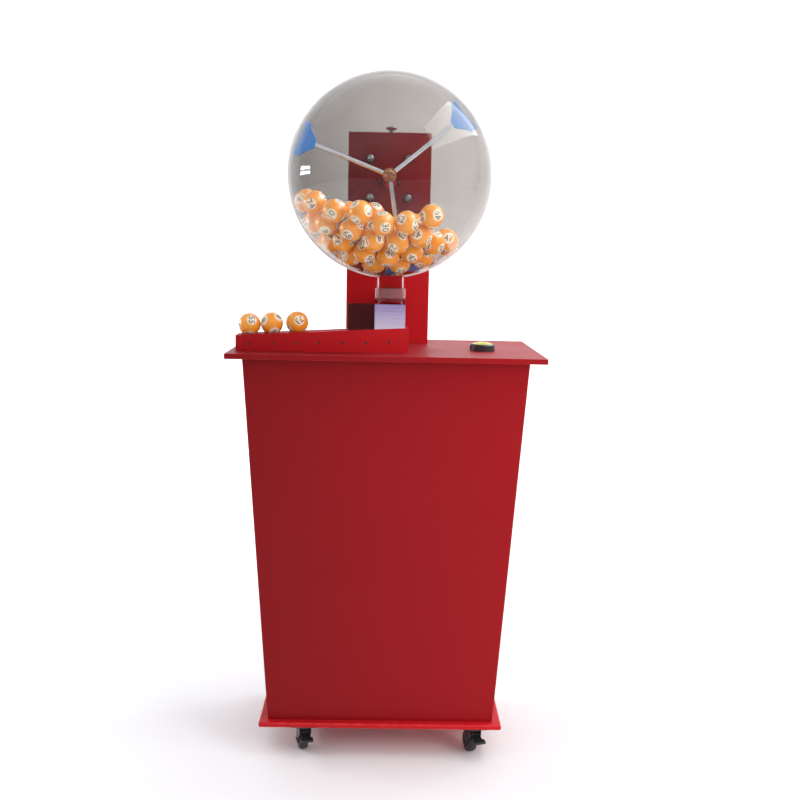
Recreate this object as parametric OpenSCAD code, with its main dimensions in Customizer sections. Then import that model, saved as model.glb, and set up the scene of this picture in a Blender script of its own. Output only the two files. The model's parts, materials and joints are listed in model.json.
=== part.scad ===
// Motorised draw machine: a clear globe with a turning mixer stands on a
// tapered cabinet on casters, and drops balls one by one onto a sloping ramp.
// Millimetres. X runs to the operator's right as seen from the front,
// Y runs to the back, Z is up from the floor.

/* [Table and cabinet] */
// Width of the table top
table_w = 700; // [640:1:820]
// Depth of the table top, front to back
table_d = 450; // [420:1:540]
// Thickness of the table top
table_t = 12; // [9:1:20]
// How far the table top overhangs the cabinet
table_overhang = 34; // [15:1:45]
// Height of the cabinet body between base and table top
body_h = 858; // [600:1:950]
// How far the front and each side lean in from top to bottom
body_taper = 52; // [0:1:70]
// Thickness of the cabinet boards
board_t = 12; // [9:1:18]
// Thickness of the base board
base_t = 12; // [9:1:20]
// How far the base board stands out round the cabinet
base_overhang = 20; // [5:1:40]

/* [Rear door] */
// Width of the door opening
door_w = 380; // [250:1:420]
// Height of the rear panel's rail above the door opening
door_rail = 108; // [60:1:200]
// Height of the opening's lower edge above the base board
door_sill = 110; // [60:1:140]
// Gap all round the door
door_gap = 2; // [1:0.5:4]
// Diameter of the hinge pins
hinge_pin_d = 5; // [4:0.5:6]
// Diameter of the hinge knuckles
knuckle_d = 10; // [8:0.5:12]

/* [Column] */
// Width of the column
column_w = 202; // [180:1:240]
// Depth of the column
column_d = 112; // [110:1:130]
// Height of the column above the table top
column_h = 508; // [480:1:620]
// Distance from the table's back edge to the column
column_gap = 4; // [2:1:20]
// Thickness of the column's rear cover
cover_t = 6; // [4:1:10]

/* [Globe] */
// Outside diameter of the globe
globe_d = 444; // [400:1:460]
// Wall thickness of the globe
globe_wall = 4; // [3:0.5:6]
// Width of the rim where the two halves are cemented
rim_w = 3; // [2:0.5:6]
// Height of the globe's centre above the table top
globe_rise = 390; // [380:1:420]
// Spacing of the four bolts that hold the globe to the column
bolt_spacing = 92; // [70:1:110]
// Height of the bolts' middle above the mixer shaft
bolt_rise = 8; // [0:1:12]
// Diameter of those bolts
bolt_d = 8; // [6:1:10]

/* [Mixer] */
// Diameter of the mixer shaft
shaft_d = 12; // [10:1:14]
// Diameter of the hub
hub_d = 30; // [28:1:36]
// Length of the hub
hub_len = 34; // [28:1:40]
// Diameter of the three arms
arm_d = 10; // [8:1:10]
// Clearance between the paddles' corners and the globe's inner wall
paddle_clear = 6; // [4:0.5:12]
// Length of each paddle bar, square to its arm
paddle_len = 74; // [50:1:90]
// Thickness of each paddle bar
paddle_t = 8; // [5:1:10]
// Width of each paddle along the shaft
paddle_w = 36; // [24:1:40]
// Turn of the first arm up from +X
arm_angle = 39; // [0:1:119]

/* [Outlet] */
// Diameter of the balls
ball_d = 50; // [40:1:50]
// Clear bore of the neck, the gate and the exit box
neck_bore = 54; // [52:0.5:56]
// Wall thickness of the neck tube
neck_wall = 3; // [2:0.5:4]
// How far the outlet sits to the right of the globe's centre
chute_x = 6; // [0:1:10]
// Height of the collar round the neck tube
collar_h = 22; // [12:1:28]
// Thickness of the collar
collar_wall = 4; // [3:0.5:6]
// Thickness of the gate's sliding blade
blade_t = 3; // [2:0.5:4]
// Thickness of the gate housing
gate_t = 8; // [7:0.5:12]
// Inside height of the exit box above the ramp's high end
exit_h = 52; // [51.5:0.5:60]
// Outside width of the exit box
exit_w = 68; // [66:1:80]
// How far the side guard runs to the left of the exit box
guard_len = 60; // [30:1:100]
// Thickness of the acrylic plates
acrylic_t = 4; // [3:0.5:5]

/* [Ramp] */
// Length of the ramp
ramp_len = 384; // [340:1:390]
// Depth of the ramp, front to back
ramp_d = 64; // [64:1:80]
// Thickness of the ramp's boards
ramp_board_t = 12; // [8:1:14]
// Height of the ramp at its low left end
ramp_low = 34; // [25:1:40]
// Height of the ramp at its high right end
ramp_high = 56; // [45:1:60]
// Distance from the table's front edge to the ramp
ramp_setback = 76; // [40:1:90]
// Radius of the groove that the balls roll in
groove_r = 27; // [26:0.5:30]
// Depth of the groove
groove_depth = 4.5; // [3:0.5:8]
// Spacing of the studs along the ramp's face
stud_pitch = 51.5; // [45:0.5:52]
// Number of studs
stud_count = 7; // [3:1:7]
// Diameter of the studs
stud_d = 6; // [4:0.5:8]

/* [Balls] */
// Balls in front of the mixer
balls_front_count = 33; // [10:1:36]
// Balls behind the mixer
balls_rear_count = 30; // [10:1:36]
// Balls already drawn onto the ramp
drawn_count = 3; // [1:1:4]
// How far the last drawn ball has stopped short of the one before it
last_ball_gap = 6; // [0:0.5:20]

/* [Push button] */
// Diameter of the button's housing
button_d = 58; // [50:1:64]
// Height of the housing above the table
button_h = 16; // [12:1:20]
// Diameter of the cap
cap_d = 48; // [40:1:50]
// How far the cap travels
cap_travel = 4; // [2:0.5:5]
// Button's distance to the right of the table's centre
button_x = 222; // [180:1:260]
// Button's distance behind the table's front edge
button_setback = 174; // [100:1:220]

/* [Casters] */
// Height of the casters, floor to base board
caster_h = 75; // [72:1:90]
// Diameter of the wheels
wheel_d = 50; // [40:1:50]
// Width of the wheels
wheel_w = 20; // [16:1:24]
// Distance of the axle behind the swivel
trail = 22; // [18:1:26]
// Left casters' distance from the centre line
caster_left = 179; // [150:1:230]
// Right casters' distance from the centre line
caster_right = 222; // [150:1:230]
// Casters' distance in from the base board's front and back edges
caster_inset = 32; // [28:1:60]

/* [Hidden] */
$fn = 96;
globe_fn = 288;

red = [0.68, 0.07, 0.09];
dark = [0.05, 0.05, 0.06];
clear = [0.85, 0.9, 0.95, 0.3];
steel = [0.72, 0.73, 0.75];
orange = [0.9, 0.6, 0.25];
run_clear = 0.05;   // radial clearance of a shaft in its hole
bolt_clear = 0.2;   // radial clearance of a bolt in its hole
seat = 0.3;         // gap between two parts that move past each other
skin_gap = 0.1;     // gap between the globe's wall and what is shaped to it
glue_line = 0.2;    // gap between the boards of the rear frame

// heights above the floor
base_z = caster_h;
body_z = base_z + base_t;
table_z = body_z + body_h;
top_z = table_z + table_t;
globe_r = globe_d / 2;
globe_in = globe_r - globe_wall;
globe_z = top_z + globe_rise;

// the outlet column of parts stands over the middle of the ramp
globe_back = ramp_setback + ramp_d / 2;
// the table is shifted so that the whole machine is centred on Y = 0
table_y = max(0, (globe_r - globe_back) / 2);
front_y = table_y - table_d / 2;
back_y = table_y + table_d / 2;
globe_y = front_y + globe_back;

// cabinet body: leaning front and sides, upright back
body_back = back_y - table_overhang;
body_top_w = table_w - 2 * table_overhang;
body_bot_w = body_top_w - 2 * body_taper;
body_top_front = front_y + table_overhang;
door_h = body_h - door_sill - door_rail;
body_bot_front = body_top_front + body_taper;
base_w = body_bot_w + 2 * base_overhang;
base_front = body_bot_front - base_overhang;
base_back = body_back + base_overhang;

// column
col_back = back_y - column_gap;
col_front = col_back - column_d;
col_in = column_w / 2 - board_t;
plate_t = 4;
plate_w = bolt_spacing + 30;
BOLTS = [for (x = [-1, 1], z = [-1, 1])
  [x * bolt_spacing / 2, z * bolt_spacing / 2 + bolt_rise]];
gearbox_w = 66;
gearbox_d = 54;
gearbox_h = 84;
motor_d = 56;
motor_len = 110;

// mixer
paddle_tip = sqrt(pow(globe_in - paddle_clear, 2) - pow(paddle_len / 2, 2) - pow(paddle_w / 2, 2));
paddle_r = paddle_tip - paddle_t;
socket_len = 24;
arm_end = paddle_r - 6;
bearing_t = 4;
bearing_pitch = 48;
boss_d = 30;
boss_reach = 12;
bearing_screw_d = 8;

// outlet stack, from the top down
neck_r = neck_bore / 2;
neck_out = neck_r + neck_wall;
exit_z = top_z + ramp_high + exit_h;
gate_z = exit_z + acrylic_t + 1;
collar_z = gate_z + gate_t;
blade_z = gate_z + (gate_t - blade_t) / 2;
blade_w = 2 * neck_out;
gate_travel = neck_bore + 2;
rod_d = 8;
actuator_d = 30;

// ramp
ramp_right = chute_x + exit_w / 2 + 8;
ramp_left = ramp_right - ramp_len;
ramp_front = front_y + ramp_setback;
ramp_slope = (ramp_high - ramp_low) / ramp_len;
track_y = ramp_front + ramp_d / 2;
stop_x = ramp_left + ramp_board_t;
ball_r = ball_d / 2;
ball_gap = 0.4;
exit_left = chute_x - exit_w / 2;
exit_right = chute_x + exit_w / 2;
guard_left = exit_left - guard_len;
window_y = ramp_front + 1;
exit_wall_y = track_y + neck_r;
exit_wall_t = ramp_front + ramp_d - exit_wall_y;

// casters: [x, y, turn about the swivel]
caster_front_y = base_front + caster_inset;
caster_back_y = base_back - caster_inset;
CASTERS = [[-caster_left, caster_front_y, 15], [caster_right, caster_front_y, 18],
  [-caster_left, caster_back_y, -25], [caster_right, caster_back_y, 40]];
wheel_r = wheel_d / 2;
axle_d = 6;
crown_t = 3.5;
crown_z = caster_h - 9;
fork_gap = wheel_w + 3;
fork_t = 2.5;
pedal_pivot = [-9, crown_z - 12];

function ramp_top(x) = top_z + ramp_high - (ramp_right - x) * ramp_slope;
function unit(v) = v / norm(v);
function total(list, i = 0) = i >= len(list) ? [0, 0, 0] : list[i] + total(list, i + 1);

// ---- shared shapes -------------------------------------------------------

// an upright block whose four sides may lean: [x0, x1, y0, y1] below and above
module leaning_block(low, high, h) {
  polyhedron(
    points = [[low[0], low[2], 0], [low[1], low[2], 0], [low[1], low[3], 0], [low[0], low[3], 0],
      [high[0], high[2], h], [high[1], high[2], h], [high[1], high[3], h], [high[0], high[3], h]],
    faces = [[0, 1, 2, 3], [7, 6, 5, 4], [0, 4, 5, 1], [1, 5, 6, 2], [2, 6, 7, 3], [3, 7, 4, 0]]);
}

// a round bar along +Y from y0 to y1
module bar_y(d, y0, y1) {
  translate([0, y0, 0]) rotate([-90, 0, 0]) cylinder(h = y1 - y0, d = d);
}

// a board lying along the ramp's slope between x0 and x1, from the table up
module ramp_board(x0, x1, y0, t) {
  translate([0, y0 + t, 0]) rotate([90, 0, 0]) linear_extrude(t)
    polygon([[x0, top_z], [x1, top_z], [x1, ramp_top(x1)], [x0, ramp_top(x0)]]);
}

// a plate standing on the ramp between x0 and x1, up to height z
module exit_plate(x0, x1, y0, t, z) {
  translate([0, y0 + t, 0]) rotate([90, 0, 0]) linear_extrude(t)
    polygon([[x0, ramp_top(x0)], [x1, ramp_top(x1)], [x1, z], [x0, z]]);
}

module at_globe() { translate([0, globe_y, globe_z]) children(); }
module at_bolts() {
  for (b = BOLTS) translate([b[0], 0, b[1]]) children();
}

// ---- cabinet -------------------------------------------------------------

module base_board() {
  color(red) translate([-base_w / 2, base_front, base_z])
    cube([base_w, base_back - base_front, base_t]);
}

module front_panel() {
  color(red) translate([0, 0, body_z]) leaning_block(
    [-body_bot_w / 2, body_bot_w / 2, body_bot_front, body_bot_front + board_t],
    [-body_top_w / 2, body_top_w / 2, body_top_front, body_top_front + board_t], body_h);
}

module side_panel(side) {
  bot = [body_bot_w / 2 - board_t, body_bot_w / 2];
  top = [body_top_w / 2 - board_t, body_top_w / 2];
  inner_back = body_back - board_t;
  color(red) translate([0, 0, body_z]) leaning_block(
    [side > 0 ? bot[0] : -bot[1], side > 0 ? bot[1] : -bot[0], body_bot_front + board_t, inner_back],
    [side > 0 ? top[0] : -top[1], side > 0 ? top[1] : -top[0], body_top_front + board_t, inner_back],
    body_h);
}
module left_panel() { side_panel(-1); }
module right_panel() { side_panel(1); }

gland_x = body_bot_w / 2 - 45;
gland_z = body_z + 50;
gland_d = 16;
// half the rear panel's width at height z above the base board
function rear_half(z) = (body_bot_w + (body_top_w - body_bot_w) * z / body_h) / 2;

// one board of the rear frame: the whole width, or what is left of or right of the door
module rear_board(z0, z1, side = 0) {
  ends = [for (z = [z0, z1]) side == 0 ? [-rear_half(z), rear_half(z)]
    : side < 0 ? [-rear_half(z), -door_w / 2] : [door_w / 2, rear_half(z)]];
  translate([0, 0, body_z + z0]) leaning_block(
    [ends[0][0], ends[0][1], body_back - board_t, body_back],
    [ends[1][0], ends[1][1], body_back - board_t, body_back], z1 - z0);
}

// two rails and two stiles round the door, with a hairline glue joint between them
module rear_panel() {
  door_head = door_sill + door_h;
  color(red) {
    difference() {
      rear_board(0, door_sill);
      translate([gland_x, 0, gland_z]) bar_y(gland_d, body_back - board_t - 1, body_back + 1);
    }
    for (side = [-1, 1]) rear_board(door_sill + glue_line, door_head - glue_line, side);
    rear_board(door_head, body_h);
  }
}

module cable_gland() {
  color(dark) translate([gland_x, 0, gland_z]) difference() {
    union() {
      bar_y(gland_d - 0.1, body_back - board_t - 4, body_back + 0.5);
      bar_y(22, body_back, body_back + 5);
      bar_y(18, body_back + 5, body_back + 12);
      bar_y(20, body_back - board_t - 8, body_back - board_t);
    }
    bar_y(8, body_back - board_t - 9, body_back + 13);
  }
}

hole_clear = 1;
switch_d = 28;
module table_top() {
  color(red) difference() {
    translate([-table_w / 2, front_y, table_z]) cube([table_w, table_d, table_t]);
    translate([button_x, front_y + button_setback, table_z - 1])
      cylinder(h = table_t + 2, d = switch_d + hole_clear);
  }
}

module power_unit() {
  unit_w = 170;
  unit_d = 110;
  unit_h = 58;
  color(steel) difference() {
    translate([-unit_w / 2, table_y - unit_d / 2, table_z - unit_h]) cube([unit_w, unit_d, unit_h]);
    for (i = [-4:4])
      translate([i * 16 - 3, table_y - unit_d / 2 - 1, table_z - unit_h + 14]) cube([6, 4, 30]);
  }
}

// ---- rear door -----------------------------------------------------------

hinge_x = -door_w / 2;
hinge_y = body_back + knuckle_d / 2;
hinge_h = 60;
HINGES_Z = [body_z + door_sill + 90, body_z + door_sill + door_h - 90 - hinge_h];
leaf_t = 2;
leaf_w = 24;
knuckle_h = hinge_h / 3;

module rear_door() {
  color(red) translate([-door_w / 2 + door_gap, body_back - board_t, body_z + door_sill + door_gap])
    cube([door_w - 2 * door_gap, board_t, door_h - 2 * door_gap]);
}

module door_knob() {
  knob_x = door_w / 2 - 30;
  color(dark) translate([knob_x, 0, body_z + door_sill + door_h * 0.6]) {
    bar_y(14, body_back, body_back + 10);
    bar_y(24, body_back + 10, body_back + 20);
  }
}

// a flat leaf on the board, reaching the knuckle
module hinge_plate(side, z, h) {
  x0 = side > 0 ? hinge_x : hinge_x - leaf_w;
  translate([x0, body_back, z]) cube([leaf_w, leaf_t, h]);
}

module knuckle(z, h, bore) {
  translate([hinge_x, hinge_y, z]) difference() {
    cylinder(h = h, d = knuckle_d);
    if (bore) translate([0, 0, -1]) cylinder(h = h + 2, d = hinge_pin_d + 2 * run_clear);
  }
}

// fixed leaves with the upper and lower knuckles and the pins
module door_hinge_frame() {
  color(steel) for (z = HINGES_Z) {
    difference() {
      union() {
        hinge_plate(-1, z, hinge_h);
        translate([hinge_x, hinge_y, z]) cylinder(h = knuckle_h - seat, d = knuckle_d);
        translate([hinge_x, hinge_y, z + 2 * knuckle_h + seat])
          cylinder(h = knuckle_h - seat, d = knuckle_d);
      }
      // room for the door leaf's middle knuckle
      translate([hinge_x, hinge_y, z + knuckle_h - seat])
        cylinder(h = knuckle_h + 2 * seat, d = knuckle_d + 2 * seat);
    }
    translate([hinge_x, hinge_y, z]) cylinder(h = hinge_h, d = hinge_pin_d);
  }
}

// moving leaves with the middle knuckle, bored for the pin
module door_hinge_leaf() {
  color(steel) for (z = HINGES_Z) difference() {
    union() {
      hinge_plate(1, z, hinge_h);
      translate([hinge_x, hinge_y, z + knuckle_h]) cylinder(h = knuckle_h, d = knuckle_d);
    }
    for (gap_z = [z - 1, z + 2 * knuckle_h])
      translate([hinge_x, hinge_y, gap_z]) cylinder(h = knuckle_h + 1, d = knuckle_d + 2 * seat);
    translate([hinge_x, hinge_y, z - 1]) cylinder(h = hinge_h + 2, d = hinge_pin_d + 2 * run_clear);
  }
}

// ---- column --------------------------------------------------------------

module column_front() {
  color(red) difference() {
    translate([-column_w / 2, col_front, top_z]) cube([column_w, board_t, column_h - board_t]);
    translate([0, 0, globe_z]) {
      bar_y(shaft_d + 4, col_front - 1, col_front + board_t + 1);
      at_bolts() bar_y(bolt_d + 2 * bolt_clear, col_front - 1, col_front + board_t + 1);
    }
    // the actuator's lead passes through here
    translate([chute_x, 0, blade_z + blade_t / 2]) bar_y(10, col_front - 1, col_front + board_t + 1);
  }
}

module column_sides() {
  color(red) for (side = [-1, 1])
    translate([side > 0 ? col_in : -column_w / 2, col_front + board_t, top_z])
      cube([board_t, column_d - board_t, column_h - board_t]);
}

module column_top() {
  color(red) translate([-column_w / 2, col_front, top_z + column_h - board_t])
    cube([column_w, column_d, board_t]);
}

COVER_SCREWS = [for (x = [-1, 1], z = [20, column_h - board_t - 20]) [x * (col_in - 10), z]];
module column_cover() {
  color(red) difference() {
    translate([-col_in, col_back - cover_t, top_z])
      cube([2 * col_in, cover_t, column_h - board_t]);
    for (i = [0:7]) translate([-40, col_back - cover_t - 1, top_z + column_h - 90 - i * 12])
      cube([80, cover_t + 2, 5]);
  }
}

module column_screws() {
  color(steel) {
    for (p = COVER_SCREWS) translate([p[0], 0, top_z + p[1]]) bar_y(9, col_back, col_back + 2.5);
    at_bearing() bar_y(bearing_screw_d, 0, 1.6);
  }
}

module top_knob() {
  color(steel) translate([3, col_front + 28, top_z + column_h]) rotate_extrude()
    polygon([[0, 0], [9, 0], [9, 3], [6, 5], [6, 8], [14, 10], [14, 15], [11, 17], [0, 17]]);
}

module motor_plate() {
  color(steel) difference() {
    translate([-plate_w / 2, col_front + board_t, globe_z + bolt_rise - plate_w / 2])
      cube([plate_w, plate_t, plate_w]);
    translate([0, 0, globe_z]) {
      bar_y(shaft_d + 4, col_front + board_t - 1, col_front + board_t + plate_t + 1);
      at_bolts() bar_y(bolt_d + 2 * bolt_clear, col_front + board_t - 1,
        col_front + board_t + plate_t + 1);
    }
  }
}

// worm gearbox with its motor hanging below
gearbox_y = col_front + board_t + plate_t;
module gear_motor() {
  color(steel) difference() {
    translate([-gearbox_w / 2, gearbox_y, globe_z - gearbox_h / 2])
      cube([gearbox_w, gearbox_d, gearbox_h]);
    translate([0, 0, globe_z])
      bar_y(shaft_d + 2 * run_clear, gearbox_y - 1, gearbox_y + gearbox_d + 1);
  }
  color(dark) translate([0, gearbox_y + gearbox_d / 2 + 1, globe_z - gearbox_h / 2 - motor_len])
    cylinder(h = motor_len, d = motor_d - 4);
}

// ---- globe ---------------------------------------------------------------

// half of the globe, domed towards +Z, with its cemented rim
// half of the globe, with an optional round hole at its pole
module half_globe(hole_r = 0) {
  rotate_extrude() {
    difference() {
      intersection() {
        circle(globe_r);
        translate([hole_r, 0]) square(globe_r + 1);
      }
      circle(globe_in);
    }
    translate([globe_r - globe_wall / 2, 0]) square([globe_wall / 2 + rim_w, 3]);
  }
}

module outlet_hole() {
  translate([chute_x, 0, -globe_r - 10]) rotate([0, 0, 45])
    cylinder(h = 40, r = neck_out + run_clear);
}

module globe_front() {
  color(clear) at_globe() difference() {
    rotate([90, 0, 0]) half_globe();
    outlet_hole();
  }
}

module globe_rear() {
  color(clear) at_globe() difference() {
    rotate([-90, 0, 0]) half_globe(boss_d / 2 + 1.5);
    outlet_hole();
    at_bolts() bar_y(bolt_d + 2 * bolt_clear, globe_in / 2, globe_r + 5);
  }
}

// sleeves between the globe and the column, shaped to the globe
module globe_spacers() {
  color(dark) at_globe() difference() {
    at_bolts() bar_y(20, globe_in / 2, col_front - globe_y);
    sphere(globe_r + skin_gap, $fn = globe_fn);
    at_bolts() bar_y(bolt_d + 2 * bolt_clear, globe_in / 2 - 1, col_front - globe_y + 1);
  }
}

// round-headed bolts on shaped washers, and their nuts behind the motor plate
module globe_bolts() {
  plate_y = col_front + board_t + plate_t - globe_y;
  color(steel) at_globe() for (b = BOLTS) {
    wall_y = sqrt(pow(globe_in, 2) - pow(norm(b) - 8, 2));
    head_y = sqrt(pow(globe_in, 2) - pow(norm(b) + 8, 2)) - 2;
    translate([b[0], 0, b[1]]) {
      bar_y(bolt_d, head_y, plate_y + 8);
      translate([0, head_y, 0]) rotate([90, 0, 0]) cylinder(h = 5, d1 = 14, d2 = 8);
      translate([0, plate_y, 0]) rotate([-90, 0, 0]) difference() {
        cylinder(h = 6, d = 14, $fn = 6);
        translate([0, 0, -1]) cylinder(h = 8, d = bolt_d + 0.02);
      }
    }
    intersection() {
      sphere(globe_in - skin_gap, $fn = globe_fn);
      translate([b[0], 0, b[1]]) difference() {
        bar_y(16, head_y, wall_y + 5);
        bar_y(bolt_d + 0.02, head_y - 1, wall_y + 6);
      }
    }
  }
}

// ---- mixer ---------------------------------------------------------------

module at_bearing() {
  translate([0, col_front - bearing_t, globe_z])
    for (side = [-1, 1]) translate([side * bearing_pitch / 2, 0, 0]) children();
}

module shaft_bearing() {
  color(red) translate([0, 0, globe_z]) difference() {
    union() {
      for (side = [-1, 1]) translate([side * bearing_pitch / 2, 0, 0])
        bar_y(16, col_front - bearing_t, col_front);
      translate([-bearing_pitch / 2, col_front - bearing_t, -8])
        cube([bearing_pitch, bearing_t, 16]);
      bar_y(boss_d, globe_y + globe_r - boss_reach, col_front);
    }
    bar_y(shaft_d + 2 * run_clear, globe_y + globe_r - boss_reach - 1, col_front + 1);
    translate([0, 0, -globe_z]) at_bearing() bar_y(bearing_screw_d, -1, 1.6);
  }
}

module mixer_shaft() {
  color(steel) at_globe() bar_y(shaft_d, -hub_len / 2 + 4, gearbox_y + gearbox_d + 6 - globe_y);
}

// turned hub with a domed nut on its front end
module mixer_hub() {
  color([0.55, 0.3, 0.15]) at_globe() {
    difference() {
      bar_y(hub_d, -hub_len / 2, hub_len / 2);
      bar_y(shaft_d + 0.02, -hub_len / 2 + 4, hub_len / 2 + 1);
      for (i = [0:2]) rotate([0, -(arm_angle + 120 * i), 0]) rotate([0, 90, 0])
        cylinder(h = hub_d, d = arm_d + 0.02);
    }
    translate([0, -hub_len / 2, 0]) rotate([90, 0, 0])
      cylinder(h = 5, d1 = hub_d - 6, d2 = hub_d - 16);
  }
}

module mixer_arms() {
  color(steel) at_globe() for (i = [0:2]) rotate([0, -(arm_angle + 120 * i), 0])
    translate([shaft_d / 2 + 1, 0, 0]) rotate([0, 90, 0])
      cylinder(h = arm_end - shaft_d / 2 - 1, d = arm_d);
}

// cross bars, each with a web that narrows down to a socket for the arm
module mixer_paddles() {
  web_half = paddle_len / 2 - 4;
  socket_half = arm_d / 2 + 3;
  color([0.1, 0.35, 0.7]) at_globe() for (i = [0:2]) rotate([0, -(arm_angle + 120 * i), 0])
    difference() {
      union() {
        translate([paddle_r, -paddle_w / 2, -paddle_len / 2]) cube([paddle_t, paddle_w, paddle_len]);
        rotate([90, 0, 0]) linear_extrude(2 * socket_half, center = true)
          polygon([[paddle_r, -web_half], [paddle_r, web_half],
            [paddle_r - socket_len, socket_half], [paddle_r - socket_len, -socket_half]]);
      }
      translate([paddle_r - socket_len - 1, 0, 0]) rotate([0, 90, 0])
        cylinder(h = arm_end - paddle_r + socket_len + 1, d = arm_d + 0.02);
    }
}

// ---- outlet --------------------------------------------------------------

module at_chute() { translate([chute_x, globe_y, 0]) children(); }

// clear tube from the gate up through the globe's wall
module neck_tube() {
  top = globe_z - sqrt(pow(globe_in, 2) - pow(neck_out + chute_x, 2));
  color(clear) at_chute() difference() {
    translate([0, 0, collar_z]) cylinder(h = top - collar_z, r = neck_out);
    translate([0, 0, collar_z - 1]) cylinder(h = top - collar_z + 2, r = neck_r);
  }
}

module neck_collar() {
  color(clear) at_chute() difference() {
    translate([0, 0, collar_z]) cylinder(h = collar_h, r = neck_out + collar_wall);
    translate([0, 0, collar_z - 1]) cylinder(h = collar_h + 2, r = neck_out);
  }
}

module gate_housing() {
  color(clear) at_chute() difference() {
    translate([-exit_w / 2, -exit_w / 2, gate_z]) cube([exit_w, exit_w, gate_t]);
    translate([0, 0, gate_z - 1]) cylinder(h = gate_t + 2, r = neck_r);
    translate([-blade_w / 2 - seat, -neck_out, blade_z - seat])
      cube([blade_w + 2 * seat, exit_w, blade_t + 2 * seat]);
  }
}

// flat blade that closes the outlet, on the actuator's rod
module gate_blade() {
  blade_back = exit_w / 2 + 24;
  color(steel) at_chute() {
    translate([-blade_w / 2, -neck_out + 1, blade_z]) cube([blade_w, blade_back + neck_out - 1, blade_t]);
    translate([0, 0, blade_z + blade_t / 2]) {
      bar_y(rod_d + 4, blade_back, blade_back + 8);
      bar_y(rod_d, blade_back + 8, actuator_y + 30);
    }
  }
}

actuator_y = exit_w / 2 + 24 + gate_travel + 12;
module gate_actuator() {
  reach = col_front - globe_y;
  color(red) at_chute() translate([0, 0, blade_z + blade_t / 2]) difference() {
    union() {
      bar_y(actuator_d, actuator_y, reach - 4);
      bar_y(actuator_d + 14, reach - 4, reach);
    }
    bar_y(rod_d + 2 * run_clear, actuator_y - 1, reach - 8);
  }
}

module exit_top() {
  color(clear) difference() {
    translate([exit_left, ramp_front, exit_z]) cube([exit_w, ramp_d, acrylic_t + 1]);
    at_chute() translate([0, 0, exit_z - 1]) cylinder(h = acrylic_t + 3, r = neck_r);
  }
}

module exit_window() {
  color([0.75, 0.72, 0.9, 0.8]) exit_plate(exit_left, exit_right, window_y, acrylic_t, exit_z);
}

module exit_guard() {
  color([0.4, 0.3, 0.3, 0.5]) exit_plate(guard_left, exit_left, window_y, acrylic_t, exit_z);
}

module exit_back() {
  color(red) exit_plate(guard_left, exit_right, exit_wall_y, exit_wall_t, exit_z);
}

module exit_end() {
  color(clear) exit_plate(exit_right - acrylic_t, exit_right, window_y + acrylic_t,
    exit_wall_y - window_y - acrylic_t, exit_z);
}

// ---- ramp ----------------------------------------------------------------

module ramp_front_board() {
  color(red) difference() {
    ramp_board(stop_x, ramp_right, ramp_front, ramp_board_t);
    for (i = [0:stud_count - 1]) translate([stud_x(i), 0, stud_z(i)])
      bar_y(stud_d, ramp_front - 1, ramp_front + 6);
  }
}

module ramp_back_board() {
  color(red) ramp_board(stop_x, ramp_right, ramp_front + ramp_d - ramp_board_t, ramp_board_t);
}

// the groove's axis follows the slope
module ramp_bed() {
  lift = groove_r - groove_depth;
  tilt = atan(ramp_slope);
  color(red) difference() {
    ramp_board(stop_x, ramp_right, ramp_front + ramp_board_t, ramp_d - 2 * ramp_board_t);
    translate([stop_x, track_y, ramp_top(stop_x)]) rotate([0, -tilt, 0])
      translate([-20, 0, lift]) rotate([0, 90, 0]) cylinder(h = ramp_len + 40, r = groove_r);
  }
}

module ramp_end_stop() {
  color(red) ramp_board(ramp_left, stop_x, ramp_front, ramp_d);
}

function stud_x(i) = chute_x - 2 - i * stud_pitch;
function stud_z(i) = (top_z + ramp_top(stud_x(i))) / 2 - 3;
module ramp_studs() {
  color(dark) for (i = [0:stud_count - 1]) translate([stud_x(i), 0, stud_z(i)])
    bar_y(stud_d, ramp_front + 1.2, ramp_front + 6);
}

// ---- balls ---------------------------------------------------------------

// The heaps are settled by a small relaxation: every ball is drawn down and a
// little to the left, pushed off its neighbours, and kept inside the globe and
// out of the space that the paddles sweep.
settle_d = ball_d + 0.4;
settle_r = globe_in - ball_r - 0.4;
settle_y = paddle_w / 2 + ball_r + 1.6;

function seeds(n, side) = [for (i = [0:n - 1]) let (row = floor(i / 5), col = i % 5)
  [-120 + col * 54 + (row % 2) * 21, side * (60 + (row % 3) * 46), -150 + floor(row / 2) * 50]];

function pushes(p, i, all) = total([for (j = [0:len(all) - 1])
  let (gap = p - all[j], d = norm(gap))
  j != i && d < settle_d ? unit(gap + [0.01, 0, 0.01]) * (settle_d - d) * 0.45 : [0, 0, 0]]);

function keep_in(p, side) =
  let (q = norm(p) > settle_r ? p * settle_r / norm(p) : p,
    y = side * max(settle_y, abs(q[1])),
    flat = norm([q[0], q[2]]),
    reach = sqrt(max(1, pow(settle_r, 2) - y * y)),
    k = flat > reach ? reach / flat : 1)
  [q[0] * k, y, q[2] * k];

function settle(all, side, pull) = [for (i = [0:len(all) - 1])
  keep_in(all[i] + pull + pushes(all[i], i, all), side)];

function heap(n, side) =
  let (steps = 190, calm = 70)
  [for (k = 0, all = seeds(n, side); k <= steps;
    all = settle(all, side, k < steps - calm ? [-0.34, 0, -1.1] : [0, 0, 0]), k = k + 1)
    if (k == steps) all][0];

module globe_balls() {
  color(orange) at_globe() {
    for (p = heap(balls_front_count, -1)) translate(p) sphere(d = ball_d);
    for (p = heap(balls_rear_count, 1)) translate(p) sphere(d = ball_d);
  }
}

// the first ball lies against the end stop, the last one has stopped short
module drawn_balls() {
  rise = groove_r - groove_depth - (groove_r - ball_r);
  first_x = stop_x + sqrt(pow(ball_r, 2) - pow(rise, 2)) + 1;
  color(orange) for (i = [0:drawn_count - 1]) {
    x = first_x + i * (ball_d + ball_gap) + (i == drawn_count - 1 ? last_ball_gap : 0);
    translate([x, track_y, ramp_top(x) + rise + 0.1]) sphere(d = ball_d);
  }
}

// ---- push button ---------------------------------------------------------

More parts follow.
